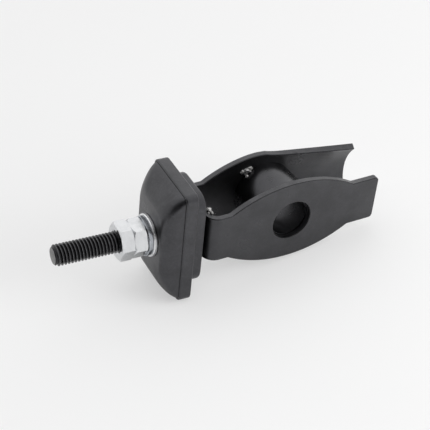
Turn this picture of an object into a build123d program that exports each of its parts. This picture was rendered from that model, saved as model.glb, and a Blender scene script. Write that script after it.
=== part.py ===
from build123d import *
import math
import os

# Chain adjuster of a motorcycle swingarm, in millimetres.
# X runs along the stud towards the open end of the fork, Y runs along the axle, Z is up.
# The origin is the middle of the axle bore.

# Folded sheet yoke
sheet_t = 2.5
fork_width = 24.2
bend_radius = 2.5
web_reach = 35.4
tab_half_height = 9.4
lens_half_height = 16.7
lens_radius = 52.0
tail_reach = 38.4
tail_corner_radius = 1.6
leg_hole_d = 16.2

# Rear leg, which curls inwards towards its tail
curl_start = -5.5
curl_rate = 0.00115
curl_blend = 2.5
curl_shoulder = 5.0
curl_shoulder_drop = 0.52
curl_tail_half_width = 13.7
curl_steps = 6

# Tube welded between the legs, which the axle passes through
sleeve_od = 25.0
axle_bore_d = 15.2

# Threaded stud, M8, welded into the web a few degrees off the line of the legs
stud_d = 8.0
stud_projection = 54.5
stud_lean = 3.3
stud_inner_projection = 1.4
stud_tip_chamfer = 0.9
weld_leg = 2.6
weld_bulge = 1.1
weld_land = 0.4
weld_clearance = 0.02
web_hole_clearance = 0.05

# Cast end cap that closes the swingarm tube
cap_gap = 1.0
spigot_depth = 4.9
spigot_half_width = 11.4
spigot_half_height = 19.2
spigot_corner = 6.0
spigot_edge = 0.8
flange_t = 4.8
flange_half_width = 14.3
flange_half_height = 23.4
flange_corner = 3.0
flange_edge = 0.6
dome_height = 7.0
dome_ledge = 0.7
dome_base_corner = 2.6
dome_top_corner = 5.6
cap_wall = 2.6
cap_bore_clearance = 0.35
cap_boss_wall = 3.4

# Washers and thin hexagon nuts on the stud
washer_od = 16.0
washer_t = 1.4
washer_edge = 0.2
washer_clearance = 0.25
spring_od = 14.8
spring_t = 1.6
spring_clearance = 0.15
spring_slit = 1.4
spring_slit_lean = 25.0
nut_across_flats = 13.0
nut_t = 5.0
nut_thread_clearance = 0.05
nut_chamfer_angle = 30.0
nut_mouth_chamfer = 0.5
adjuster_nut_turn = 36.0
lock_nut_turn = 27.0
seat_clearance = 0.0

# Cutting bodies run this far past what they cut
cut_margin = 1.0

flat_curvature = 0.0006
half_width = fork_width / 2
stud_radius = stud_d / 2
web_outer_x = -web_reach
web_inner_x = web_outer_x + sheet_t
stud_tip_x = web_outer_x - stud_projection
stud_inner_x = web_inner_x + stud_inner_projection

cap_rear_x = web_outer_x - cap_gap
flange_rear_x = cap_rear_x - spigot_depth
flange_front_x = flange_rear_x - flange_t
boss_face_x = flange_front_x - dome_height

washer_front_x = boss_face_x - seat_clearance - washer_t
spring_front_x = washer_front_x - seat_clearance - spring_t
adjuster_front_x = spring_front_x - seat_clearance - nut_t
lock_front_x = adjuster_front_x - seat_clearance - nut_t

lean = Pos(web_outer_x, 0, 0) * Rot(0, 0, -stud_lean) * Pos(-web_outer_x, 0, 0)


def save(part, name):
    """Write one sub-part to the parts folder."""
    part.label = name
    export_step(part, os.path.join("parts", name + ".step"))
    return part


def bar_along_x(radius, x_from, x_to):
    """A round bar about the stud's axis."""
    return Pos((x_from + x_to) / 2, 0, 0) * Rot(0, 90, 0) * Cylinder(radius, x_to - x_from)


def bar_along_y(radius, y_from, y_to):
    """A round bar about the axle's axis."""
    return Pos(0, (y_from + y_to) / 2, 0) * Rot(90, 0, 0) * Cylinder(radius, y_to - y_from)


def plate_along_x(half_y, half_z, corner, x_from, x_to):
    """A rectangular plate with rounded corners, square to the stud."""
    outline = Plane(origin=(x_from, 0, 0), x_dir=(0, 1, 0), z_dir=(1, 0, 0)) * RectangleRounded(
        2 * half_y, 2 * half_z, corner)
    return extrude(outline, amount=x_to - x_from)


def lens_height(x):
    """Half height of the arc that bounds a leg around the axle hole."""
    return lens_half_height - lens_radius + math.sqrt(lens_radius ** 2 - x ** 2)


def leg_outline(x_from, x_to):
    """Side view of a leg, a straight band that swells into a lens at the axle."""
    middle = (x_from + x_to) / 2
    band = Pos(middle, 0) * Rectangle(x_to - x_from, 2 * tab_half_height)
    drop = lens_radius - lens_half_height
    lens = Pos(0, -drop) * Circle(lens_radius) & Pos(0, drop) * Circle(lens_radius)
    window = Pos(middle, 0) * Rectangle(x_to - x_from, 4 * lens_half_height)
    return Plane.XZ * (band + (lens & window))


def folded_strip(front_end_x, rear_end_x):
    """The strip bent into a U, seen from above and as tall as the lens."""
    path = FilletPolyline(
        (front_end_x, -half_width),
        (web_outer_x, -half_width),
        (web_outer_x, half_width),
        (rear_end_x, half_width),
        radius=bend_radius + sheet_t)
    inner = FilletPolyline(
        (rear_end_x, half_width - sheet_t),
        (web_inner_x, half_width - sheet_t),
        (web_inner_x, -half_width + sheet_t),
        (front_end_x, -half_width + sheet_t),
        radius=bend_radius)
    front_end = Line((front_end_x, -half_width + sheet_t), (front_end_x, -half_width))
    rear_end = Line((rear_end_x, half_width), (rear_end_x, half_width - sheet_t))
    section = make_face(path.edges() + rear_end.edges() + inner.edges() + front_end.edges())
    return extrude(section, amount=lens_half_height, both=True)


def curl_half_length(x):
    """Half width of the rear leg's strip before it is curled: the lens, a shoulder and a slow taper."""
    if x <= 0:
        return lens_height(x)
    taper_from = lens_half_height - curl_shoulder_drop
    taper = taper_from - (taper_from - curl_tail_half_width) * x / tail_reach
    return taper + curl_shoulder_drop * max(0, 1 - x / curl_shoulder) ** 2


def curl_section(x):
    """Section of the rear leg at x: a band bent about an axis along X."""
    curvature = max(curl_rate * (x - curl_start), flat_curvature)
    outer_radius = 1 / curvature
    inner_radius = outer_radius - sheet_t
    middle_radius = outer_radius - sheet_t / 2
    angle = curl_half_length(x) / middle_radius
    centre_y = half_width - outer_radius

    def on_arc(radius, turn):
        return (x, centre_y + radius * math.cos(turn), radius * math.sin(turn))

    outer = ThreePointArc(on_arc(outer_radius, -angle), on_arc(outer_radius, 0), on_arc(outer_radius, angle))
    inner = ThreePointArc(on_arc(inner_radius, angle), on_arc(inner_radius, 0), on_arc(inner_radius, -angle))
    top = Line(on_arc(outer_radius, angle), on_arc(inner_radius, angle))
    bottom = Line(on_arc(inner_radius, -angle), on_arc(outer_radius, -angle))
    return make_face(outer.edges() + top.edges() + inner.edges() + bottom.edges())


def make_yoke():
    """The folded sheet: a flat front leg, the web and the curled rear leg."""
    flat_end_x = curl_start - curl_blend
    strip = folded_strip(tail_reach, flat_end_x)
    front_outline = extrude(leg_outline(web_outer_x, tail_reach), amount=fork_width, both=True)
    flat_part = strip & front_outline
    lens_half = loft([curl_section(x) for x in (flat_end_x, flat_end_x / 2, 0)])
    tail_half = loft([curl_section(tail_reach * step / curl_steps) for step in range(curl_steps + 1)])
    yoke = flat_part + lens_half + tail_half
    yoke -= bar_along_y(leg_hole_d / 2, -fork_width, fork_width)
    web_hole_radius = stud_radius + web_hole_clearance
    yoke -= lean * bar_along_x(web_hole_radius, web_outer_x - cut_margin, web_inner_x + cut_margin)
    corners = yoke.edges().filter_by(Axis.Y).group_by(Axis.X)[-1]
    yoke = fillet(corners, tail_corner_radius)
    return yoke


def make_axle_sleeve(yoke):
    """The tube between the legs, its rear end shaped to the curled leg."""
    tube = bar_along_y(sleeve_od / 2, -half_width + sheet_t, half_width - sheet_t)
    tube -= bar_along_y(axle_bore_d / 2, -fork_width, fork_width)
    tube -= yoke
    return tube


def make_stud():
    """The threaded rod, a plain bar of the thread's size with a bevelled tip."""
    rod = bar_along_x(stud_radius, stud_tip_x, stud_inner_x)
    tip = rod.edges().filter_by(GeomType.CIRCLE).group_by(Axis.X)[0]
    return lean * chamfer(tip, stud_tip_chamfer)


def make_stud_weld():
    """The fillet weld that holds the stud on the inside of the web."""
    outer = stud_radius + weld_leg
    top_x = web_inner_x + stud_inner_projection
    profile = make_face([
        Line((web_inner_x, 0), (web_inner_x, outer)),
        ThreePointArc(
            (web_inner_x, outer),
            (web_inner_x + weld_bulge, stud_radius + weld_bulge),
            (top_x, stud_radius + weld_land)),
        Line((top_x, stud_radius + weld_land), (top_x, 0)),
        Line((top_x, 0), (web_inner_x, 0))])
    side_step = -sheet_t * math.tan(math.radians(stud_lean))
    weld = Pos(0, side_step, 0) * revolve(profile, Axis.X)
    return weld - lean * bar_along_x(stud_radius + weld_clearance, web_outer_x, top_x + cut_margin)


def make_end_cap():
    """The cast cap: a spigot, a flange and a pillow-shaped face with a hollow back."""
    spigot = plate_along_x(spigot_half_width, spigot_half_height, spigot_corner, flange_rear_x, cap_rear_x)
    spigot = fillet(spigot.edges().group_by(Axis.X)[-1], spigot_edge)
    flange = plate_along_x(
        flange_half_width, flange_half_height, flange_corner, flange_front_x, flange_rear_x)
    rims = flange.edges().group_by(Axis.X)
    flange = fillet(rims[0] + rims[-1], flange_edge)
    cap = spigot + flange + make_dome()
    cavity = plate_along_x(
        spigot_half_width - cap_wall, spigot_half_height - cap_wall, spigot_corner - cap_wall / 2,
        flange_front_x, cap_rear_x)
    bore_radius = stud_radius + cap_bore_clearance
    boss = bar_along_x(bore_radius + cap_boss_wall, flange_front_x, cap_rear_x)
    cap -= cavity - boss
    cap -= bar_along_x(bore_radius, boss_face_x - cut_margin, cap_rear_x + cut_margin)
    return lean * cap


def make_dome():
    """The pillow on the cap's face, from the flange up to the flat that the washer seats on."""
    base_y = flange_half_width - dome_ledge
    base_z = flange_half_height - dome_ledge
    steps = [
        (0.00, 0.0, 0.0),
        (0.42, 0.7, 1.9),
        (0.76, 1.9, 4.8),
        (0.94, 3.1, 7.2),
        (1.00, 4.2, 9.0)]
    sections = []
    for rise, inset_y, inset_z in steps:
        at = Plane(origin=(flange_front_x - rise * dome_height, 0, 0), x_dir=(0, 1, 0), z_dir=(1, 0, 0))
        corner = dome_base_corner + (dome_top_corner - dome_base_corner) * rise
        sections.append(at * RectangleRounded(2 * (base_y - inset_y), 2 * (base_z - inset_z), corner))
    return loft(sections)


def make_flat_washer():
    """The plain washer that bears on the cap."""
    disc = bar_along_x(washer_od / 2, washer_front_x, boss_face_x - seat_clearance)
    disc -= bar_along_x(stud_radius + washer_clearance, washer_front_x - cut_margin, boss_face_x + cut_margin)
    rims = disc.edges().filter_by(GeomType.CIRCLE).group_by(SortBy.RADIUS)[-1]
    return lean * chamfer(rims, washer_edge)


def make_spring_washer():
    """The split lock washer, pressed flat, with its slanted slit."""
    back = washer_front_x - seat_clearance
    ring = bar_along_x(spring_od / 2, spring_front_x, back)
    ring -= bar_along_x(stud_radius + spring_clearance, spring_front_x - cut_margin, back + cut_margin)
    slit = Box(4 * spring_t, spring_slit, spring_od)
    slit_z = -(spring_od + stud_radius) / 2
    slit = Pos((spring_front_x + back) / 2, 0, slit_z) * Rot(0, 0, spring_slit_lean) * slit
    return lean * (ring - slit)


def make_nut(front_x, turn):
    """A thin hexagon nut with bevelled corners, its first corner turned from straight up."""
    hexagon = RegularPolygon(nut_across_flats / 2, 6, major_radius=False, rotation=90)
    at = Plane(origin=(front_x, 0, 0), x_dir=(0, 1, 0), z_dir=(1, 0, 0))
    body = extrude(at * hexagon, amount=nut_t)
    corner_radius = nut_across_flats / math.sqrt(3)
    rise = (corner_radius - nut_across_flats / 2) * math.tan(math.radians(nut_chamfer_angle))
    profile = make_face([
        Line((front_x, 0), (front_x, nut_across_flats / 2)),
        Line((front_x, nut_across_flats / 2), (front_x + rise, corner_radius)),
        Line((front_x + rise, corner_radius), (front_x + nut_t - rise, corner_radius)),
        Line((front_x + nut_t - rise, corner_radius), (front_x + nut_t, nut_across_flats / 2)),
        Line((front_x + nut_t, nut_across_flats / 2), (front_x + nut_t, 0)),
        Line((front_x + nut_t, 0), (front_x, 0))])
    body &= revolve(profile, Axis.X)
    hole_radius = stud_radius + nut_thread_clearance
    body -= bar_along_x(hole_radius, front_x - cut_margin, front_x + nut_t + cut_margin)
    mouths = body.edges().filter_by(GeomType.CIRCLE).group_by(SortBy.RADIUS)[0]
    body = chamfer(mouths, nut_mouth_chamfer)
    return lean * Rot(turn, 0, 0) * body


def main():
    """Build every sub-part and write it."""
    os.makedirs("parts", exist_ok=True)
    yoke = make_yoke()
    save(yoke, "yoke")
    save(make_axle_sleeve(yoke), "axle_sleeve")
    save(make_stud(), "stud")
    save(make_stud_weld(), "stud_weld")
    save(make_end_cap(), "end_cap")
    save(make_flat_washer(), "flat_washer")
    save(make_spring_washer(), "spring_washer")
    save(make_nut(adjuster_front_x, adjuster_nut_turn), "adjuster_nut")
    save(make_nut(lock_front_x, lock_nut_turn), "lock_nut")


main()
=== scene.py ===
"""Looks of a motorcycle chain adjuster: coated sheet fork, cast end cap, threaded stud and zinc nuts."""

import logging
import math
from dataclasses import dataclass
from enum import Enum
from typing import Sequence

import bmesh
import bpy
from mathutils import Matrix, Vector, noise
from mathutils.bvhtree import BVHTree

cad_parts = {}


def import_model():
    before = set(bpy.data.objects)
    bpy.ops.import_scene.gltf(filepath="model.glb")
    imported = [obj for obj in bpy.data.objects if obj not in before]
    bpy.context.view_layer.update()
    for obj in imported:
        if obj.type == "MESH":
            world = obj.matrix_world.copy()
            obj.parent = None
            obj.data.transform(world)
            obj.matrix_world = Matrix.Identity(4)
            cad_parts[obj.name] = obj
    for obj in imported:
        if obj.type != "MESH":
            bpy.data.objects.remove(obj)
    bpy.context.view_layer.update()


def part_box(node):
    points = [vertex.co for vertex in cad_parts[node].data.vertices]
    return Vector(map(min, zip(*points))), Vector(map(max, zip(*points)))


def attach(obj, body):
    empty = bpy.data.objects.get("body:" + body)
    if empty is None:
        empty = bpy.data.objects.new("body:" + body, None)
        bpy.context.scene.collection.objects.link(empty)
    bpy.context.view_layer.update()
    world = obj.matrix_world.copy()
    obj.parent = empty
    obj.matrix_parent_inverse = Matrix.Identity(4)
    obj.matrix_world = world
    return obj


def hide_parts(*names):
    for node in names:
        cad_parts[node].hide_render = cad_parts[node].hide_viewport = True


LOG = logging.getLogger("chain_adjuster")
MM = 0.001

# Corners nearer than this are one corner, in metres.
SAME_SPOT = 0.002 * MM
# Faces that turn by less than this are one flat face, in radians.
SAME_FLAT = math.radians(0.6)
# Segments across a softened edge.
EDGE_STEPS = 3
# Places of the two trims among a piece's finishes.
FIRST_TRIM = 1
SECOND_TRIM = 2

Pair = tuple[float, float]
Triple = tuple[float, float, float]
Drop = tuple[Triple, Triple]
Socket = bpy.types.NodeSocket
Material = bpy.types.Material


class Body(Enum):
    """The moving bodies of the adjuster."""

    FORK = "fork"
    CAP = "cap"
    ADJUSTER_NUT = "adjuster_nut"
    LOCK_NUT = "lock_nut"


class Slot(Enum):
    """Names of material slots, which no piece here takes its finish from."""

    YOKE = "yoke_coating"
    SLEEVE = "sleeve_coating"
    STUD = "stud_oxide"
    WELD = "weld_coating"
    CAP = "cap_coating"
    WASHER = "washer_zinc"
    SPRING = "spring_zinc"
    NUT = "nut_zinc"


class Bench:
    """A bench for wiring the shader nodes of one tree."""

    def __init__(self, tree: bpy.types.NodeTree) -> None:
        """Take up a tree."""
        self.tree = tree

    def link(self, source: Socket, target: Socket) -> None:
        """Join two sockets."""
        self.tree.links.new(source, target)

    def ranged(self, value: Socket, seen: Pair, given: Pair, smooth: bool = False) -> Socket:
        """Map a value from one range to another, clamped.

        Args:
            value: socket to map.
            seen: the value's range.
            given: the result at both ends of it.
            smooth: whether the result eases in and out.

        Returns:
            The mapped socket.
        """
        node = self.tree.nodes.new("ShaderNodeMapRange")
        if smooth:
            node.interpolation_type = "SMOOTHSTEP"
        for name, number in zip(("From Min", "From Max", "To Min", "To Max"), (*seen, *given)):
            node.inputs[name].default_value = number
        self.link(value, node.inputs["Value"])
        return node.outputs["Result"]

    def math(self, operation: str, first: Socket, second: Socket | float) -> Socket:
        """Join two values with a math node.

        Args:
            operation: the node's operation.
            first: socket of the first value.
            second: the second value, or its socket.

        Returns:
            The result's socket.
        """
        node = self.tree.nodes.new("ShaderNodeMath")
        node.operation = operation
        self.link(first, node.inputs[0])
        if isinstance(second, float):
            node.inputs[1].default_value = second
        else:
            self.link(second, node.inputs[1])
        return node.outputs["Value"]

    def grey(self, value: Socket) -> Socket:
        """Turn a value into a grey colour.

        Args:
            value: socket of the value.

        Returns:
            The colour socket.
        """
        node = self.tree.nodes.new("ShaderNodeCombineColor")
        for channel in ("Red", "Green", "Blue"):
            self.link(value, node.inputs[channel])
        return node.outputs["Color"]


class MaterialBench(Bench):
    """A bench with a new material, its shader and the piece's own coordinates."""

    # Places of the colour sockets on a Mix node, which share their names with its other sockets.
    COLOUR_INPUTS = (6, 7)
    COLOUR_OUTPUT = 2

    def __init__(self, name: str) -> None:
        """Start an empty material with its output and shader.

        Args:
            name: name of the material.
        """
        self.material = bpy.data.materials.new(name)
        self.material.use_nodes = True
        super().__init__(self.material.node_tree)
        self.tree.nodes.clear()
        self.output = self.tree.nodes.new("ShaderNodeOutputMaterial")
        self.shader = self.tree.nodes.new("ShaderNodeBsdfPrincipled")
        self.link(self.shader.outputs["BSDF"], self.output.inputs["Surface"])
        self.coordinates = self.tree.nodes.new("ShaderNodeTexCoord").outputs["Object"]

    def noise(self, per_metre: float, detail: float = 2.0, rough: float = 0.5,
              stretch: Triple = (1.0, 1.0, 1.0)) -> Socket:
        """Noise on object coordinates.

        Args:
            per_metre: number of blotches along a metre.
            detail: octaves of detail.
            rough: strength of the finer octaves.
            stretch: scale of the pattern along each axis.

        Returns:
            The factor socket, from 0 to 1.
        """
        mapping = self.tree.nodes.new("ShaderNodeMapping")
        mapping.inputs["Scale"].default_value = stretch
        self.link(self.coordinates, mapping.inputs["Vector"])
        node = self.tree.nodes.new("ShaderNodeTexNoise")
        node.inputs["Scale"].default_value = per_metre
        node.inputs["Detail"].default_value = detail
        node.inputs["Roughness"].default_value = rough
        self.link(mapping.outputs["Vector"], node.inputs["Vector"])
        return node.outputs["Fac"]

    def mix(self, factor: Socket, first: Triple, second: Triple) -> Socket:
        """Mix two colours.

        Args:
            factor: share of the second colour.
            first: the first colour.
            second: the second colour.

        Returns:
            The colour socket.
        """
        node = self.tree.nodes.new("ShaderNodeMix")
        node.data_type = "RGBA"
        self.link(factor, node.inputs["Factor"])
        for place, colour in zip(self.COLOUR_INPUTS, (first, second)):
            node.inputs[place].default_value = (*colour, 1.0)
        return node.outputs[self.COLOUR_OUTPUT]

    def bump(self, height: Socket, depth: float, strength: float, below: Socket | None = None) -> Socket:
        """Bump of a height pattern.

        Args:
            height: height socket, from 0 to 1.
            depth: height of the full range, in metres.
            strength: share of the bump.
            below: normal of the coarser bump under it.

        Returns:
            The normal socket.
        """
        node = self.tree.nodes.new("ShaderNodeBump")
        node.inputs["Strength"].default_value = strength
        node.inputs["Distance"].default_value = depth
        self.link(height, node.inputs["Height"])
        if below is not None:
            self.link(below, node.inputs["Normal"])
        return node.outputs["Normal"]


class SkyBench(Bench):
    """A bench with the scene's new world and the direction of its rays."""

    def __init__(self, name: str) -> None:
        """Start the world.

        Args:
            name: name of the world.
        """
        world = bpy.data.worlds.new(name)
        bpy.context.scene.world = world
        world.use_nodes = True
        super().__init__(world.node_tree)
        self.heading = self.tree.nodes.new("ShaderNodeTexCoord").outputs["Generated"]
        self.background = self.tree.nodes["Background"]

    def upwards(self) -> Socket:
        """Find how far a ray points up.

        Returns:
            The socket of its direction's Z.
        """
        node = self.tree.nodes.new("ShaderNodeSeparateXYZ")
        self.link(self.heading, node.inputs["Vector"])
        return node.outputs["Z"]

    def towards(self, place: Triple) -> Socket:
        """Find how nearly a ray points towards a place, 1 when straight at it.

        Args:
            place: the place, seen from the origin.

        Returns:
            The cosine's socket.
        """
        node = self.tree.nodes.new("ShaderNodeVectorMath")
        node.operation = "DOT_PRODUCT"
        self.link(self.heading, node.inputs[0])
        node.inputs[1].default_value = Vector(place).normalized()
        return node.outputs["Value"]


@dataclass(frozen=True)
class BlackCoat:
    """Satin black coating, with a fine grain, pale freckles and duller blotches.

    Args:
        name: name of the material.
        colour: colour of the clean coating.
        dust: colour of the freckles.
        roughness: mean roughness.
        grain_per_metre: number of grains along a metre.
        grain_depth: height of the grain, in metres.
        blotch_per_metre: number of blotches along a metre.
        specular: strength of the surface's reflection.
        tint: colour of the surface's reflection.
        dulled: share of the reflection that the blotches keep.
        freckle_per_metre: number of freckles along a metre.
        freckle_edge: noise between which a freckle comes up.
        freckle_share: share of the dust's colour in the middle of a freckle.
        blotch_edge: noise between which a blotch comes up.
        worn_edge: noise between which the roughness rises.
        worn_span: change of the roughness from the smoothest to the dullest place.
        wave_per_metre: number of slow waves along a metre.
        wave_depth: height of the waves, in metres.
        wave_strength: share of the waves' bump.
        grain_strength: share of the grain's bump.
    """

    name: str
    colour: Triple = (0.0032, 0.0032, 0.0034)
    dust: Triple = (0.012, 0.012, 0.0125)
    roughness: float = 0.31
    grain_per_metre: float = 2600.0
    grain_depth: float = 0.05 * MM
    blotch_per_metre: float = 90.0
    specular: float = 0.94
    tint: Triple = (0.94, 0.94, 1.0)
    dulled: float = 0.86
    freckle_per_metre: float = 1050.0
    freckle_edge: Pair = (0.48, 0.74)
    freckle_share: float = 0.8
    blotch_edge: Pair = (0.42, 0.6)
    worn_edge: Pair = (0.3, 0.7)
    worn_span: Pair = (-0.06, 0.09)
    wave_per_metre: float = 260.0
    wave_depth: float = 0.12 * MM
    wave_strength: float = 0.25
    grain_strength: float = 0.55

    def make(self) -> Material:
        """Build the material.

        Returns:
            The material.
        """
        bench = MaterialBench(self.name)
        sockets = bench.shader.inputs
        blotch = bench.noise(self.blotch_per_metre, detail=5.0, rough=0.62)
        speck = bench.noise(self.freckle_per_metre, detail=2.0, rough=0.6)
        freckled = bench.ranged(speck, self.freckle_edge, (0.0, self.freckle_share))
        bench.link(bench.mix(freckled, self.colour, self.dust), sockets["Base Color"])
        dull_tint = tuple(part * self.dulled for part in self.tint)
        blotched = bench.ranged(blotch, self.blotch_edge, (0.0, 1.0))
        bench.link(bench.mix(blotched, self.tint, dull_tint), sockets["Specular Tint"])
        worn = tuple(self.roughness + change for change in self.worn_span)
        bench.link(bench.ranged(blotch, self.worn_edge, worn), sockets["Roughness"])
        sockets["Specular IOR Level"].default_value = self.specular
        wave = bench.noise(self.wave_per_metre, detail=2.0, rough=0.5)
        grain = bench.noise(self.grain_per_metre, detail=3.0, rough=0.6)
        waved = bench.bump(wave, self.wave_depth, self.wave_strength)
        bench.link(bench.bump(grain, self.grain_depth, self.grain_strength, waved), sockets["Normal"])
        return bench.material


@dataclass(frozen=True)
class ZincPlate:
    """Bright metal, such as zinc plate, with fine turning lines and a faint haze.

    Args:
        name: name of the material.
        colour: colour of the clean plate.
        haze: colour of the hazy places.
        roughness: mean roughness.
        haze_per_metre: number of hazy places along a metre.
        haze_edge: noise between which the haze comes up.
        haze_share: share of the haze's colour at its thickest.
        worn_edge: noise between which the roughness rises.
        worn_span: change of the roughness from the brightest to the dullest place.
        line_per_metre: number of turning lines along a metre, before they are stretched.
        line_stretch: scale of the lines along each axis.
        line_depth: height of the lines, in metres.
        line_strength: share of the lines' bump.
    """

    name: str
    colour: Triple = (0.74, 0.75, 0.762)
    haze: Triple = (0.66, 0.67, 0.685)
    roughness: float = 0.19
    haze_per_metre: float = 340.0
    haze_edge: Pair = (0.4, 0.72)
    haze_share: float = 0.8
    worn_edge: Pair = (0.3, 0.7)
    worn_span: Pair = (-0.05, 0.07)
    line_per_metre: float = 900.0
    line_stretch: Triple = (0.25, 3.0, 3.0)
    line_depth: float = 0.02 * MM
    line_strength: float = 0.35

    def make(self) -> Material:
        """Build the material.

        Returns:
            The material.
        """
        bench = MaterialBench(self.name)
        sockets = bench.shader.inputs
        blotch = bench.noise(self.haze_per_metre, detail=4.0, rough=0.6)
        hazy = bench.ranged(blotch, self.haze_edge, (0.0, self.haze_share))
        bench.link(bench.mix(hazy, self.colour, self.haze), sockets["Base Color"])
        sockets["Metallic"].default_value = 1.0
        worn = tuple(self.roughness + change for change in self.worn_span)
        bench.link(bench.ranged(blotch, self.worn_edge, worn), sockets["Roughness"])
        lines = bench.noise(self.line_per_metre, detail=2.0, rough=0.5, stretch=self.line_stretch)
        bench.link(bench.bump(lines, self.line_depth, self.line_strength), sockets["Normal"])
        return bench.material


def merged_copy(node: str) -> bmesh.types.BMesh:
    """A copy of a solid's mesh, with its loose triangles joined.

    Args:
        node: name of the solid.

    Returns:
        The mesh.
    """
    bm = bmesh.new()
    bm.from_mesh(bpy.data.objects[node].data)
    bmesh.ops.remove_doubles(bm, verts=bm.verts, dist=SAME_SPOT)
    return bm


def join_flats(bm: bmesh.types.BMesh) -> None:
    """Join the triangles of each flat face that has one finish."""
    bmesh.ops.dissolve_limit(bm, angle_limit=SAME_FLAT, verts=bm.verts, edges=bm.edges,
                             delimit={"MATERIAL"})


def dressed_copy(node: str, body: Body, material: Material, edge: float = 0.0,
                 crease: float = 32.0, trims: Sequence[Material] = (),
                 soften: float = 0.0) -> bpy.types.Object:
    """A merged copy of a solid, smooth shaded, with softened edges, that stands for it.

    Args:
        node: name of the solid.
        body: the body that it rides on.
        material: its finish.
        edge: width of the softened edges, in metres, or 0 for none.
        crease: edges sharper than this many degrees aren't smoothed over.
        trims: other finishes, the first for the softened edges.
        soften: edges sharper than this are softened, or 0 for those sharper than the crease.

    Returns:
        The new piece.
    """
    bm = merged_copy(node)
    join_flats(bm)
    return finished_piece(bm, node + "_dressed", body, material, (node,), edge, crease, trims, soften)


def finished_piece(bm: bmesh.types.BMesh, name: str, body: Body, material: Material,
                   stands_for: Sequence[str] = (), edge: float = 0.0, crease: float = 32.0,
                   trims: Sequence[Material] = (), soften: float = 0.0) -> bpy.types.Object:
    """Turn a bmesh into a riding piece.

    Args:
        bm: the mesh, which is freed.
        name: name of the piece.
        body: the body that it rides on.
        material: its finish.
        stands_for: solids that it replaces.
        edge: width of the softened edges, in metres, or 0 for none.
        crease: edges sharper than this many degrees aren't smoothed over.
        trims: other finishes, the first for the softened edges.
        soften: edges sharper than this are softened, or 0 for those sharper than the crease.

    Returns:
        The new piece.
    """
    sharp = math.radians(crease)
    for face in bm.faces:
        face.smooth = True
    for line in bm.edges:
        line.smooth = not (line.is_manifold and line.calc_face_angle(0.0) > sharp)
    mesh = bpy.data.meshes.new(name)
    bm.to_mesh(mesh)
    bm.free()
    for finish in (material, *trims):
        mesh.materials.append(finish)
    piece = bpy.data.objects.new(name, mesh)
    bpy.context.scene.collection.objects.link(piece)
    if edge > 0:
        bevel = piece.modifiers.new("softened_edges", "BEVEL")
        bevel.width = edge
        bevel.segments = EDGE_STEPS
        bevel.limit_method = "ANGLE"
        bevel.angle_limit = math.radians(soften) if soften > 0 else sharp
        bevel.use_clamp_overlap = True
        bevel.harden_normals = False
        if trims:
            bevel.material = FIRST_TRIM
    if stands_for:
        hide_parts(*stands_for)
    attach(piece, body.value)
    LOG.info("%s rides on %s", name, body.value)
    return piece


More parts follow.
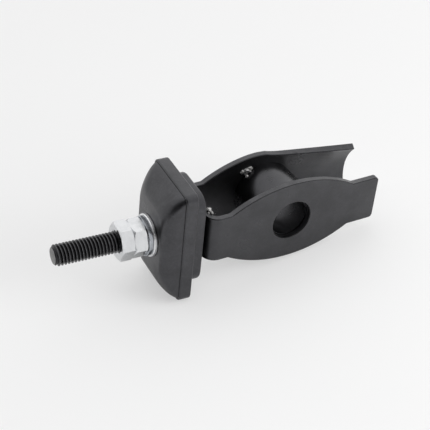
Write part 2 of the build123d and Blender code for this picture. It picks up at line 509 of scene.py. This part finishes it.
@dataclass
class Fork:
    """The folded sheet fork with its axle tube and weld marks.

    Args:
        through_sheet: depth that a ray inwards has at most through the sheet, in metres.
        under_skin: depth under a face at which that ray starts, in metres.
        bore_reach: distance from the axle within which a cut face is part of a bore, in metres.
        half_width: half the fork's width, in metres.
        sheet: thickness of the sheet, in metres.
        curl_x: place along the leg where its curl starts, in metres.
        curl_half_height: half the leg's height there, in metres.
        curl_reach: distance along the leg within which a corner is on that section, in metres.
        slack: how far the curl's first section lies off the flat part at most, in metres.
        sliver: length under which an edge there is closed up, in metres.
        sheet_edge: rounding of the sheet's cut edges, in metres.
        tube_edge: rounding of the tube's ends, in metres.
        weld_edge: rounding of the bead inside the web, in metres.
        drop_steps: subdivisions of a weld drop.
        drop_lumps: number of bumps along a weld drop's radius.
        drop_unevenness: height of the bumps, as a share of the drop's size.
        drop_crease: angle of a sharp edge on a weld drop, in degrees.
        tack_drops: centre and half sizes of each drop beside the tube, in millimetres.
        spatter_drops: the same of each drop on the web's edge.
        coat: finish of the sheet.
        tube_coat: finish of the tube.
        weld_coat: finish of the bead inside the web.
        corner_coat: finish of the sheet's rounded corners, smooth and clean.
        cut_coat: finish of the sheet's cut faces, a little paler.
        drop_metal: finish of the weld drops.
    """

    through_sheet: float = 4.0 * MM
    under_skin: float = 0.01 * MM
    bore_reach: float = 8.6 * MM
    half_width: float = 12.1 * MM
    sheet: float = 2.5 * MM
    curl_x: float = -8.0 * MM
    curl_half_height: float = 16.081 * MM
    curl_reach: float = 0.02 * MM
    slack: float = 0.12 * MM
    sliver: float = 0.005 * MM
    sheet_edge: float = 0.38 * MM
    tube_edge: float = 0.25 * MM
    weld_edge: float = 0.3 * MM
    drop_steps: int = 4
    drop_lumps: float = 1.7
    drop_unevenness: float = 0.55
    drop_crease: float = 80.0
    tack_drops: tuple[Drop, ...] = (
        ((-7.9, 9.4, 10.4), (1.6, 1.0, 1.7)), ((-9.9, 9.7, 10.6), (1.0, 0.7, 0.8)),
        ((-6.6, 9.4, 11.6), (0.8, 0.8, 0.7)), ((-8.4, 8.4, 8.9), (0.7, 0.7, 0.8)))
    spatter_drops: tuple[Drop, ...] = (
        ((-32.8, -5.9, 9.9), (0.8, 1.1, 0.8)), ((-33.6, -4.9, 9.7), (0.6, 0.7, 0.6)),
        ((-32.6, -7.6, 9.7), (0.5, 0.5, 0.6)), ((-33.7, -7.0, 9.5), (0.4, 0.5, 0.4)))
    coat: BlackCoat = BlackCoat("fork_coating")
    tube_coat: BlackCoat = BlackCoat("tube_coating", roughness=0.24, grain_depth=0.02 * MM)
    weld_coat: BlackCoat = BlackCoat(
        "weld_coating", roughness=0.30, grain_depth=0.08 * MM, grain_per_metre=1500.0)
    corner_coat: BlackCoat = BlackCoat(
        "fork_corners", colour=(0.003, 0.003, 0.0032), dust=(0.005, 0.005, 0.0052), roughness=0.2,
        specular=0.7, grain_depth=0.01 * MM)
    cut_coat: BlackCoat = BlackCoat(
        "fork_cut_edges", colour=(0.012, 0.012, 0.0123), dust=(0.04, 0.04, 0.041), roughness=0.34,
        specular=0.95, blotch_per_metre=200.0)
    drop_metal: ZincPlate = ZincPlate("weld_drops", (0.72, 0.71, 0.70), (0.35, 0.35, 0.35), 0.3)

    def build(self) -> None:
        """Make the fork's pieces and weld marks."""
        sheet = merged_copy("yoke")
        self.close_curl_step(sheet)
        self.mark_cut_faces(sheet)
        join_flats(sheet)
        coat = self.coat.make()
        trims = (self.corner_coat.make(), self.cut_coat.make())
        finished_piece(sheet, "yoke_dressed", Body.FORK, coat, ("yoke",), self.sheet_edge,
                       trims=trims)
        dressed_copy("axle_sleeve", Body.FORK, self.tube_coat.make(), self.tube_edge)
        dressed_copy("stud_weld", Body.FORK, self.weld_coat.make(), self.weld_edge)
        metal = self.drop_metal.make()
        self.add_drops("tack_on_tube", metal, self.tack_drops)
        self.add_drops("spatter_on_web", metal, self.spatter_drops)

    def close_curl_step(self, sheet: bmesh.types.BMesh) -> None:
        """Bring the curl's first section onto the flat part, so that no sliver stops the softened edges.

        Args:
            sheet: the fork's merged mesh.
        """
        for spot in sheet.verts:
            if abs(spot.co.x - self.curl_x) > self.curl_reach or spot.co.y < 0.0:
                continue
            for surface in (self.half_width, self.half_width - self.sheet):
                if abs(spot.co.y - surface) < self.slack:
                    spot.co.y = surface
            if abs(abs(spot.co.z) - self.curl_half_height) < self.slack:
                spot.co.z = math.copysign(self.curl_half_height, spot.co.z)
        bmesh.ops.remove_doubles(sheet, verts=sheet.verts, dist=SAME_SPOT)
        bmesh.ops.dissolve_degenerate(sheet, edges=sheet.edges, dist=self.sliver)

    def mark_cut_faces(self, sheet: bmesh.types.BMesh) -> None:
        """Give their finish to the cut faces, which have more metal behind them than the sheet's thickness.

        Args:
            sheet: the fork's merged mesh.
        """
        tree = BVHTree.FromBMesh(sheet)
        for face in sheet.faces:
            middle = face.calc_center_median()
            depth = tree.ray_cast(middle - face.normal * self.under_skin, -face.normal)[3]
            in_bore = math.hypot(middle.x, middle.z) < self.bore_reach
            if depth is not None and depth > self.through_sheet and not in_bore:
                face.material_index = SECOND_TRIM

    def add_drops(self, name: str, metal: Material, places: Sequence[Drop]) -> None:
        """Uneven drops of weld metal left on the fork.

        Args:
            name: name of the piece.
            metal: its finish.
            places: centre and half sizes of each drop, in millimetres.
        """
        bm = bmesh.new()
        for centre, half in places:
            made = bmesh.ops.create_icosphere(bm, subdivisions=self.drop_steps, radius=1.0)
            for spot in made["verts"]:
                lump = noise.noise(spot.co * self.drop_lumps + Vector(centre))
                spot.co *= 1.0 + self.drop_unevenness * lump
            bmesh.ops.scale(bm, vec=Vector(half) * MM, verts=made["verts"])
            bmesh.ops.translate(bm, vec=Vector(centre) * MM, verts=made["verts"])
        finished_piece(bm, name, Body.FORK, metal, crease=self.drop_crease)


@dataclass
class Stud:
    """The threaded rod, with a real thread.

    Args:
        radius: radius of the crests, in metres.
        pitch: distance between crests, in metres.
        depth: depth of the thread, in metres.
        sides: steps round a turn.
        run_in: pitches by which the sweep starts before the tip.
        spare_turns: turns that the sweep has over, which are trimmed off.
        chamfer: height of the tip's bevel, in metres.
        crest_share: share of the pitch that is crest.
        root_share: share of the pitch that is root.
        web_x: place of the web's middle, where the stud starts to lean, in metres.
        tip_x: place of the tip, in metres.
        root_x: place of the inner end, in metres.
        lean: angle to the legs, in radians.
        cut_slack: distance from a cut within which a corner is on it, in metres.
        rim_slack: distance from a cut within which an edge is on its rim, in metres.
        skin: distance from the tip's plane or the crests within which a face is on them, in metres.
        crease: angle of a sharp edge, in degrees.
        oxide: finish of the thread.
        crest_highlight_coat: finish of the thread's crests, paler as a painted highlight.
        sawn_steel: finish of the tip's face.
    """

    radius: float = 4.0 * MM
    pitch: float = 1.25 * MM
    depth: float = 0.77 * MM
    sides: int = 36
    run_in: float = 1.2
    spare_turns: int = 2
    chamfer: float = 0.95 * MM
    crest_share: float = 0.18
    root_share: float = 0.18
    web_x: float = -35.4 * MM
    tip_x: float = -89.9 * MM
    root_x: float = -31.5 * MM
    lean: float = math.radians(3.3)
    cut_slack: float = 0.0001 * MM
    rim_slack: float = 0.001 * MM
    skin: float = 0.01 * MM
    crease: float = 24.0
    oxide: BlackCoat = BlackCoat(
        "stud_oxide", colour=(0.003, 0.003, 0.0031), dust=(0.009, 0.009, 0.0093), roughness=0.28,
        grain_per_metre=3400.0, grain_depth=0.02 * MM, specular=0.42)
    # Painted highlight: the crests are paler than the thread, standing for the glints along them.
    crest_highlight_coat: BlackCoat = BlackCoat(
        "stud_painted_crest_highlight", colour=(0.035, 0.035, 0.036), dust=(0.11, 0.11, 0.112), roughness=0.24,
        grain_per_metre=3400.0, grain_depth=0.02 * MM, blotch_per_metre=420.0, specular=1.0)
    sawn_steel: ZincPlate = ZincPlate("stud_sawn_end", (0.27, 0.27, 0.27), (0.16, 0.16, 0.16), 0.42)

    def build(self) -> None:
        """Make the threaded rod, leaning as it leaves the web."""
        bm = bmesh.new()
        self.sweep_thread(bm)
        self.trim_end(bm, self.tip_x, keeps_above=True)
        self.trim_end(bm, self.root_x, keeps_above=False)
        self.chamfer_tip(bm)
        bmesh.ops.recalc_face_normals(bm, faces=bm.faces)
        self.mark_finishes(bm)
        turn = Matrix.Rotation(-self.lean, 3, "Z")
        bmesh.ops.rotate(bm, cent=(self.web_x, 0, 0), matrix=turn, verts=bm.verts)
        trims = (self.sawn_steel.make(), self.crest_highlight_coat.make())
        finished_piece(bm, "stud_thread", Body.FORK, self.oxide.make(), ("stud",),
                       crease=self.crease, trims=trims)

    def sweep_thread(self, bm: bmesh.types.BMesh) -> None:
        """Sweep one pitch of the thread's profile round the X axis.

        Args:
            bm: the mesh that takes the thread.
        """
        turns = math.ceil((self.root_x - self.tip_x) / self.pitch) + self.spare_turns
        start = self.tip_x - self.pitch * self.run_in
        valley = self.radius - self.depth
        valley_from = self.crest_share + (1 - self.crest_share - self.root_share) / 2
        marks = ((0.0, self.radius), (self.crest_share, self.radius), (valley_from, valley),
                 (valley_from + self.root_share, valley), (1.0, self.radius))
        spots = [bm.verts.new((start + share * self.pitch, 0.0, reach)) for share, reach in marks]
        lines = [bm.edges.new(pair) for pair in zip(spots, spots[1:])]
        bmesh.ops.spin(bm, geom=spots + lines, cent=(0, 0, 0), axis=(1, 0, 0),
                       dvec=(self.pitch / self.sides, 0, 0), angle=math.tau * turns,
                       steps=self.sides * turns, use_merge=False)
        bmesh.ops.remove_doubles(bm, verts=bm.verts, dist=SAME_SPOT)

    def trim_end(self, bm: bmesh.types.BMesh, place: float, keeps_above: bool) -> None:
        """Cut the rod square and close the cut.

        Args:
            bm: the rod, along X.
            place: where along X it is cut, in metres.
            keeps_above: whether the side with the larger X stays.
        """
        bmesh.ops.bisect_plane(bm, geom=bm.verts[:] + bm.edges[:] + bm.faces[:], dist=self.cut_slack,
                               plane_co=(place, 0, 0), plane_no=(1, 0, 0),
                               clear_inner=keeps_above, clear_outer=not keeps_above)
        rim = [line for line in bm.edges if line.is_boundary
               and all(abs(spot.co.x - place) < self.rim_slack for spot in line.verts)]
        bmesh.ops.holes_fill(bm, edges=rim, sides=0)

    def chamfer_tip(self, bm: bmesh.types.BMesh) -> None:
        """Draw the thread in towards the tip.

        Args:
            bm: the rod, along X.
        """
        for spot in bm.verts:
            reach = math.hypot(spot.co.y, spot.co.z)
            allowed = self.radius - self.chamfer + (spot.co.x - self.tip_x)
            if reach > allowed > 0:
                spot.co.y *= allowed / reach
                spot.co.z *= allowed / reach

    def mark_finishes(self, bm: bmesh.types.BMesh) -> None:
        """Give the sawn tip its finish and the crests their painted highlight.

        Args:
            bm: the rod, along X.
        """
        for face in bm.faces:
            if all(spot.co.x < self.tip_x + self.skin for spot in face.verts):
                face.material_index = FIRST_TRIM
            elif all(math.hypot(spot.co.y, spot.co.z) > self.radius - self.skin for spot in face.verts):
                # The crests carry the painted highlight.
                face.material_index = SECOND_TRIM


@dataclass
class Cap:
    """The cast end cap and the two washers that bear on it.

    Args:
        edge: rounding of the casting's edges, in metres.
        crease: angle of a sharp edge on the casting, in degrees.
        seam_half: half the width of the strip of painted shade in the crease round the casting's face, in
            metres.
        seam_steps: segments across that crease.
        seam_angles: range of the hollow angle along that crease, in degrees.
        washer_edge: rounding of the flat washer's edges, in metres.
        spring_edge: rounding of the spring washer's edges, in metres.
        coat: finish of the casting.
        edge_highlight_coat: finish of its softened edges, paler as a painted highlight.
        seam_shade_coat: painted shade in the crease, darker and less glossy than the casting.
        washer_zinc: finish of the flat washer.
        spring_zinc: finish of the spring washer.
    """

    edge: float = 0.3 * MM
    crease: float = 38.0
    seam_half: float = 0.26 * MM
    seam_steps: int = 2
    seam_angles: Pair = (50.0, 86.0)
    washer_edge: float = 0.2 * MM
    spring_edge: float = 0.15 * MM
    coat: BlackCoat = BlackCoat(
        "cap_coating", colour=(0.0055, 0.0055, 0.0062), dust=(0.02, 0.02, 0.0217), roughness=0.33,
        grain_per_metre=1900.0, grain_depth=0.06 * MM, blotch_per_metre=120.0)
    # Painted highlight: the softened edges are paler than the casting, standing for the light that they
    # catch.
    edge_highlight_coat: BlackCoat = BlackCoat(
        "cap_painted_edge_highlight", colour=(0.014, 0.014, 0.0148), dust=(0.035, 0.035, 0.0365), roughness=0.35,
        specular=0.95, blotch_per_metre=160.0)
    # Painted shade: the crease is darker and less glossy than the casting, standing for the shade in it.
    seam_shade_coat: BlackCoat = BlackCoat(
        "cap_painted_seam_shade", colour=(0.003, 0.003, 0.003), dust=(0.006, 0.006, 0.006), roughness=0.5, specular=0.2)
    washer_zinc: ZincPlate = ZincPlate("washer_zinc", (0.93, 0.93, 0.94), (0.82, 0.83, 0.85), 0.4)
    spring_zinc: ZincPlate = ZincPlate("spring_zinc", (0.42, 0.44, 0.47), (0.25, 0.26, 0.28), 0.2)

    def build(self) -> None:
        """Make the cap and washers."""
        casting = merged_copy("end_cap")
        join_flats(casting)
        self.shade_seam(casting)
        trims = (self.edge_highlight_coat.make(), self.seam_shade_coat.make())
        finished_piece(casting, "end_cap_dressed", Body.CAP, self.coat.make(), ("end_cap",),
                       self.edge, crease=self.crease, trims=trims)
        dressed_copy("flat_washer", Body.CAP, self.washer_zinc.make(), self.washer_edge)
        dressed_copy("spring_washer", Body.CAP, self.spring_zinc.make(), self.spring_edge)

    def shade_seam(self, casting: bmesh.types.BMesh) -> None:
        """Round the crease between the casting's face and its flange into a narrow strip of painted shade.

        Args:
            casting: the cap's merged mesh.
        """
        shallow, steep = (math.radians(angle) for angle in self.seam_angles)
        hollow = [line for line in casting.edges
                  if line.is_manifold and shallow < -line.calc_face_angle_signed(0.0) < steep]
        made = bmesh.ops.bevel(casting, geom=hollow, offset=self.seam_half, offset_type="OFFSET",
                               segments=self.seam_steps, profile=0.5, affect="EDGES", clamp_overlap=True,
                               material=-1)
        # These faces carry the painted shade of the crease.
        for face in made["faces"]:
            face.material_index = SECOND_TRIM
        LOG.info("the cap's seam has %d faces", len(made["faces"]))


@dataclass
class Nuts:
    """The two thin hexagon nuts.

    Args:
        edge: width of the softened edges, in metres.
        crease: angle of an edge that isn't smoothed over, in degrees.
        soften: angle from which an edge is softened, in degrees.
        zinc: finish of the flats.
        edge_highlight_zinc: finish of the softened edges, paler as a painted highlight.
    """

    edge: float = 0.22 * MM
    crease: float = 20.0
    soften: float = 36.0
    zinc: ZincPlate = ZincPlate("nut_zinc")
    # Painted highlight: the softened edges are paler than the flats, standing for the light that they
    # catch.
    edge_highlight_zinc: ZincPlate = ZincPlate("nut_painted_edge_highlight", (0.96, 0.96, 0.97), (0.88, 0.88, 0.9), 0.3)

    def build(self) -> None:
        """Make both nuts."""
        zinc = self.zinc.make()
        trims = (self.edge_highlight_zinc.make(),)
        for node, body in (("adjuster_nut", Body.ADJUSTER_NUT), ("lock_nut", Body.LOCK_NUT)):
            dressed_copy(node, body, zinc, self.edge, self.crease, trims, self.soften)


@dataclass(frozen=True)
class SoftBox:
    """A square lamp aimed at the adjuster, which its shiny surfaces don't mirror.

    Args:
        name: name of the lamp.
        place: place of the lamp, in metres.
        watts: its power.
        size: its side, in metres.
    """

    name: str
    place: Triple
    watts: float
    size: float

    def hang(self) -> None:
        """Put the lamp in the scene."""
        light = bpy.data.lights.new(self.name, "AREA")
        light.energy = self.watts
        light.size = self.size
        lamp = bpy.data.objects.new(self.name, light)
        lamp.location = self.place
        lamp.rotation_euler = (-Vector(self.place)).to_track_quat("-Z", "Y").to_euler()
        lamp.visible_glossy = False
        bpy.context.scene.collection.objects.link(lamp)


@dataclass
class Studio:
    """The floor, light and camera.

    Args:
        slope: rise of the floor along X, because the adjuster lies on its cap's edge and the fork's tail.
        rest_x: place along X where the cap's edge rests, in metres.
        floor_gap: space that the floor leaves under the adjuster, in metres.
        floor_half: half the floor's side, in metres.
        paper: brightness of the floor.
        paper_roughness: roughness of the floor.
        paper_specular: strength of the floor's reflection.
        clouds_per_metre: number of faint clouds along a metre of the floor.
        cloud_edge: noise between which the floor pales.
        cloud_tone: share of its brightness that the floor keeps, at both ends of that.
        eye: place of the camera, in metres.
        right: the picture's right, in the adjuster's frame.
        down: the picture's down.
        lens: focal length, in millimetres.
        sensor: width of the sensor, in millimetres.
        clip: distances between which the camera sees, in metres.
        horizon: brightness of the tent near the floor.
        zenith: brightness of the tent overhead.
        tent_edge: heights of a ray's direction between which the tent brightens.
        backdrop: brightness of the background in the picture.
        glow: extra brightness of the tent's back.
        glow_from: direction of the tent's back.
        glow_edge: cosines between which the glow comes up.
        dark_left: direction of the tent's dark left side.
        opening_edge: cosines between which a dark opening darkens.
        shadow_share: share of the floor's own light and shadow in the picture.
        mirrored_share: the same in what the adjuster mirrors.
        soft_boxes: the lamps.
    """

    slope: float = 0.128
    rest_x: float = -40.4 * MM
    floor_gap: float = 0.05 * MM
    floor_half: float = 3.0
    paper: float = 0.93
    paper_roughness: float = 0.9
    paper_specular: float = 0.1
    clouds_per_metre: float = 6.0
    cloud_edge: Pair = (0.3, 0.7)
    cloud_tone: Pair = (0.985, 1.0)
    eye: Triple = (-0.22604, -0.30751, 0.27176)
    right: Triple = (0.868282, -0.488611, 0.085707)
    down: Triple = (-0.231858, -0.55246, -0.800643)
    lens: float = 103.19
    sensor: float = 36.0
    clip: Pair = (0.01, 20.0)
    horizon: float = 0.88
    zenith: float = 0.96
    tent_edge: Pair = (-0.1, 0.9)
    backdrop: float = 0.93
    glow: float = 0.12
    glow_from: Triple = (0.35, 0.75, 0.56)
    glow_edge: Pair = (0.35, 0.95)
    dark_left: Triple = (-0.92, -0.37, 0.2)
    opening_edge: Pair = (0.78, 0.91)
    shadow_share: float = 0.5
    mirrored_share: float = 0.92
    soft_boxes: tuple[SoftBox, ...] = (
        SoftBox("soft_box_back", (0.55, 0.75, 1.1), 0.7, 0.9),
        SoftBox("soft_box_right", (0.45, -0.45, 0.30), 3.2, 0.4))

    def build(self) -> None:
        """Set the floor, world, lamps and camera."""
        self.lay_floor()
        self.pitch_tent()
        for box in self.soft_boxes:
            box.hang()
        self.place_camera()

    def lay_floor(self) -> None:
        """Lay a wide sheet of pale paper under the adjuster."""
        low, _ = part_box("end_cap")
        bm = bmesh.new()
        bmesh.ops.create_grid(bm, x_segments=1, y_segments=1, size=self.floor_half)
        tilt = Matrix.Rotation(-math.atan(self.slope), 4, "Y")
        bmesh.ops.transform(bm, matrix=tilt, verts=bm.verts)
        rest = Vector((self.rest_x, 0.0, low.z - self.floor_gap))
        bmesh.ops.translate(bm, vec=rest, verts=bm.verts)
        mesh = bpy.data.meshes.new("floor_paper")
        bm.to_mesh(mesh)
        bm.free()
        mesh.materials.append(self.floor_paper())
        floor = bpy.data.objects.new("floor_paper", mesh)
        bpy.context.scene.collection.objects.link(floor)

    def floor_paper(self) -> Material:
        """Build the floor's material.

        Returns:
            The material.
        """
        bench = MaterialBench("floor_paper")
        sockets = bench.shader.inputs
        sockets["Roughness"].default_value = self.paper_roughness
        sockets["Specular IOR Level"].default_value = self.paper_specular
        tone = bench.ranged(bench.noise(self.clouds_per_metre), self.cloud_edge, self.cloud_tone)
        bench.link(bench.grey(bench.math("MULTIPLY", tone, self.paper)), sockets["Base Color"])
        self.lift_shadow(bench)
        return bench.material

    def lift_shadow(self, bench: MaterialBench) -> None:
        """Blend the floor with the backdrop's brightness, so that it and its shadow stay pale.

        Args:
            bench: the bench of the floor's material.
        """
        lift = bench.tree.nodes.new("ShaderNodeEmission")
        lift.inputs["Color"].default_value = (self.backdrop, self.backdrop, self.backdrop, 1.0)
        blend = bench.tree.nodes.new("ShaderNodeMixShader")
        rays = bench.tree.nodes.new("ShaderNodeLightPath").outputs
        seen = bench.math("MULTIPLY", rays["Is Camera Ray"], 1.0 - self.shadow_share)
        mirrored = bench.math("MAXIMUM", rays["Is Glossy Ray"], rays["Is Transmission Ray"])
        mirrored = bench.math("MULTIPLY", mirrored, 1.0 - self.mirrored_share)
        bench.link(bench.math("MAXIMUM", seen, mirrored), blend.inputs["Fac"])
        bench.link(bench.shader.outputs["BSDF"], blend.inputs[1])
        bench.link(lift.outputs["Emission"], blend.inputs[2])
        bench.link(blend.outputs["Shader"], bench.output.inputs["Surface"])

    def pitch_tent(self) -> None:
        """Make a pale tent with a brighter back, dark where it opens to the camera and on the left."""
        bench = SkyBench("studio_sky")
        tent = bench.ranged(bench.upwards(), self.tent_edge, (self.horizon, self.zenith), smooth=True)
        glow = bench.ranged(bench.towards(self.glow_from), self.glow_edge, (0.0, self.glow), smooth=True)
        opening = bench.ranged(bench.towards(self.eye), self.opening_edge, (1.0, 0.0), smooth=True)
        left = bench.ranged(bench.towards(self.dark_left), self.opening_edge, (1.0, 0.0), smooth=True)
        lit = bench.math("ADD", tent, glow)
        shaded = bench.math("MULTIPLY", lit, bench.math("MULTIPLY", opening, left))
        rays = bench.tree.nodes.new("ShaderNodeLightPath").outputs
        seen = bench.tree.nodes.new("ShaderNodeMix")
        bench.link(rays["Is Camera Ray"], seen.inputs["Factor"])
        bench.link(shaded, seen.inputs["A"])
        seen.inputs["B"].default_value = self.backdrop
        bench.background.inputs["Strength"].default_value = 1.0
        bench.link(bench.grey(seen.outputs["Result"]), bench.background.inputs["Color"])

    def place_camera(self) -> None:
        """Put the camera at the photograph's place."""
        right, down = Vector(self.right), Vector(self.down)
        back = right.cross(-down)
        data = bpy.data.cameras.new("studio_camera")
        data.lens = self.lens
        data.sensor_width = self.sensor
        data.clip_start, data.clip_end = self.clip
        camera = bpy.data.objects.new("studio_camera", data)
        turn = Matrix((right, -down, back)).transposed().to_4x4()
        camera.matrix_world = Matrix.Translation(Vector(self.eye)) @ turn
        bpy.context.scene.collection.objects.link(camera)
        bpy.context.scene.camera = camera


def main() -> None:
    """Build the adjuster's looks in order."""
    logging.basicConfig(level=logging.INFO, format="%(name)s: %(message)s")
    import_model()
    for assembly in (Fork(), Stud(), Cap(), Nuts()):
        assembly.build()
    Studio().build()
    bpy.context.scene.view_settings.view_transform = "Standard"
    bpy.context.view_layer.update()


if __name__ == "__main__":
    main()
